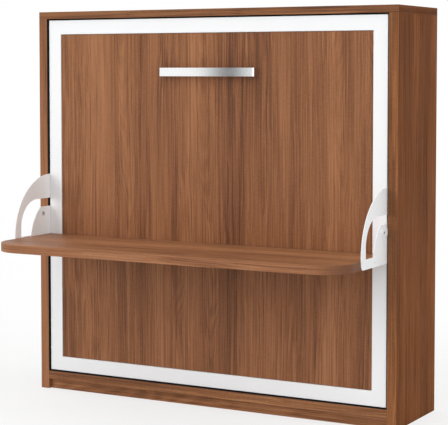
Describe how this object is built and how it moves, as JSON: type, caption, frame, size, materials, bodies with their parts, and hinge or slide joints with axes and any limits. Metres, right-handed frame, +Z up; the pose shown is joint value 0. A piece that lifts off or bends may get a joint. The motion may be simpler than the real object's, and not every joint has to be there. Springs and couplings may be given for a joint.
{
  "type": "wall bed with fold-down desk",
  "caption": "Walnut wall-bed cabinet with a white-framed front that tilts out as a bed, while a desk on curved side plates stays level under it.",
  "frame": {"origin": "middle of the footprint of the closed bed with its desk, on the floor", "axes": "+Z up, +Y towards the wall behind, +X to the right seen from the front"},
  "size_m": [2.09, 1.045, 2.05],
  "materials": {
    "walnut_upright": "satin",
    "walnut_level": "satin",
    "white_paint": "satin",
    "zinc_plate": "satin",
    "bright_steel": "satin",
    "handle_steel": "satin",
    "nylon": "matte",
    "black_plastic": "matte",
    "black_rubber": "matte",
    "birch_ply": "satin",
    "ticking": "matte",
    "webbing": "matte",
    "black_paint": "gloss"
  },
  "bodies": {
    "cabinet": {"side_panel_left": "walnut_upright", "side_panel_right": "walnut_upright", "top_board": "walnut_level", "bottom_board": "walnut_level", "plinth": "walnut_level", "back_panel": "walnut_upright", "rear_top_rail": "walnut_level", "rear_lower_rail": "walnut_level", "pivot_plate_left": "zinc_plate", "pivot_plate_right": "zinc_plate", "pivot_bush_left": "nylon", "pivot_bush_right": "nylon", "rod_stud_left": "bright_steel", "rod_stud_right": "bright_steel", "strut_anchor_left": "zinc_plate", "strut_anchor_right": "zinc_plate", "mechanism_screws": "zinc_plate", "stop_block_left": "black_plastic", "stop_block_right": "black_plastic", "stop_buffers": "black_rubber"},
    "bed": {"frame_top_rail": "white_paint", "frame_bottom_rail": "white_paint", "frame_left_stile": "white_paint", "frame_right_stile": "white_paint", "middle_rail": "white_paint", "front_panel": "walnut_upright", "panel_cleats": "zinc_plate", "handle": "handle_steel", "handle_screws": "bright_steel", "slats_left": "birch_ply", "slats_right": "birch_ply", "slat_holders": "black_plastic", "mattress": "ticking", "mattress_straps": "webbing", "pivot_pin_left": "bright_steel", "pivot_pin_right": "bright_steel", "strut_lug_left": "white_paint", "strut_lug_right": "white_paint", "desk_pivot_pins": "bright_steel", "leg_pins": "bright_steel"},
    "desk": {"desk_board": "walnut_level", "desk_plate_left": "white_paint", "desk_plate_right": "white_paint", "desk_arm_left": "white_paint", "desk_arm_right": "white_paint", "desk_plate_bolts": "white_paint", "desk_screws": "white_paint", "link_pins": "bright_steel"},
    "rod_left": {"parallel_rod_left": "zinc_plate"},
    "strut_left": {"strut_cylinder_left": "black_paint"},
    "strut_stem_left": {"strut_rod_left": "bright_steel"},
    "leg_left": {"leg_left": "black_paint", "foot_left": "black_rubber"},
    "rod_right": {"parallel_rod_right": "zinc_plate"},
    "strut_right": {"strut_cylinder_right": "black_paint"},
    "strut_stem_right": {"strut_rod_right": "bright_steel"},
    "leg_right": {"leg_right": "black_paint", "foot_right": "black_rubber"}
  },
  "joints": [
    {"name": "bed_tilt", "type": "hinge", "parent": "cabinet", "child": "bed", "pos_m": [0, 0.0525, 0.277], "axis": [1, 0, 0], "range_deg": [0, 90], "stiffness_Nm_per_rad": 420, "springref_deg": -17.19},
    {"name": "desk_level", "type": "hinge", "parent": "bed", "child": "desk", "pos_m": [0, 0.0525, 0.962], "axis": [1, 0, 0], "range_deg": [-90, 0]},
    {"name": "rod_left_swing", "type": "hinge", "parent": "cabinet", "child": "rod_left", "pos_m": [-0.986, 0.0975, 0.322], "axis": [1, 0, 0], "range_deg": [0, 90]},
    {"name": "strut_left_swing", "type": "hinge", "parent": "cabinet", "child": "strut_left", "pos_m": [-0.977, 0.1805, 0.697], "axis": [1, 0, 0], "range_deg": [0, 4.23]},
    {"name": "strut_left_stroke", "type": "slide", "parent": "strut_left", "child": "strut_stem_left", "axis": [0, -0.1236, -0.9923], "range_m": [-0.1759, 0]},
    {"name": "leg_left_swing", "type": "hinge", "parent": "bed", "child": "leg_left", "pos_m": [-0.991, 0.0525, 1.9], "axis": [1, 0, 0], "range_deg": [-90, 0]},
    {"name": "rod_right_swing", "type": "hinge", "parent": "cabinet", "child": "rod_right", "pos_m": [0.986, 0.0975, 0.322], "axis": [1, 0, 0], "range_deg": [0, 90]},
    {"name": "strut_right_swing", "type": "hinge", "parent": "cabinet", "child": "strut_right", "pos_m": [0.977, 0.1805, 0.697], "axis": [1, 0, 0], "range_deg": [0, 4.23]},
    {"name": "strut_right_stroke", "type": "slide", "parent": "strut_right", "child": "strut_stem_right", "axis": [0, -0.1236, -0.9923], "range_m": [-0.1759, 0]},
    {"name": "leg_right_swing", "type": "hinge", "parent": "bed", "child": "leg_right", "pos_m": [0.991, 0.0525, 1.9], "axis": [1, 0, 0], "range_deg": [-90, 0]}
  ],
  "couplings": [
    {"joint": "desk_level", "follows": "bed_tilt", "ratio": -1},
    {"joint": "rod_left_swing", "follows": "bed_tilt", "ratio": 1},
    {"joint": "strut_left_swing", "follows": "bed_tilt", "ratio": 0.046889},
    {"joint": "strut_left_stroke", "follows": "bed_tilt", "m_per_rad": -0.11182},
    {"joint": "leg_left_swing", "follows": "bed_tilt", "ratio": -1},
    {"joint": "rod_right_swing", "follows": "bed_tilt", "ratio": 1},
    {"joint": "strut_right_swing", "follows": "bed_tilt", "ratio": 0.046889},
    {"joint": "strut_right_stroke", "follows": "bed_tilt", "m_per_rad": -0.11182},
    {"joint": "leg_right_swing", "follows": "bed_tilt", "ratio": -1}
  ]
}
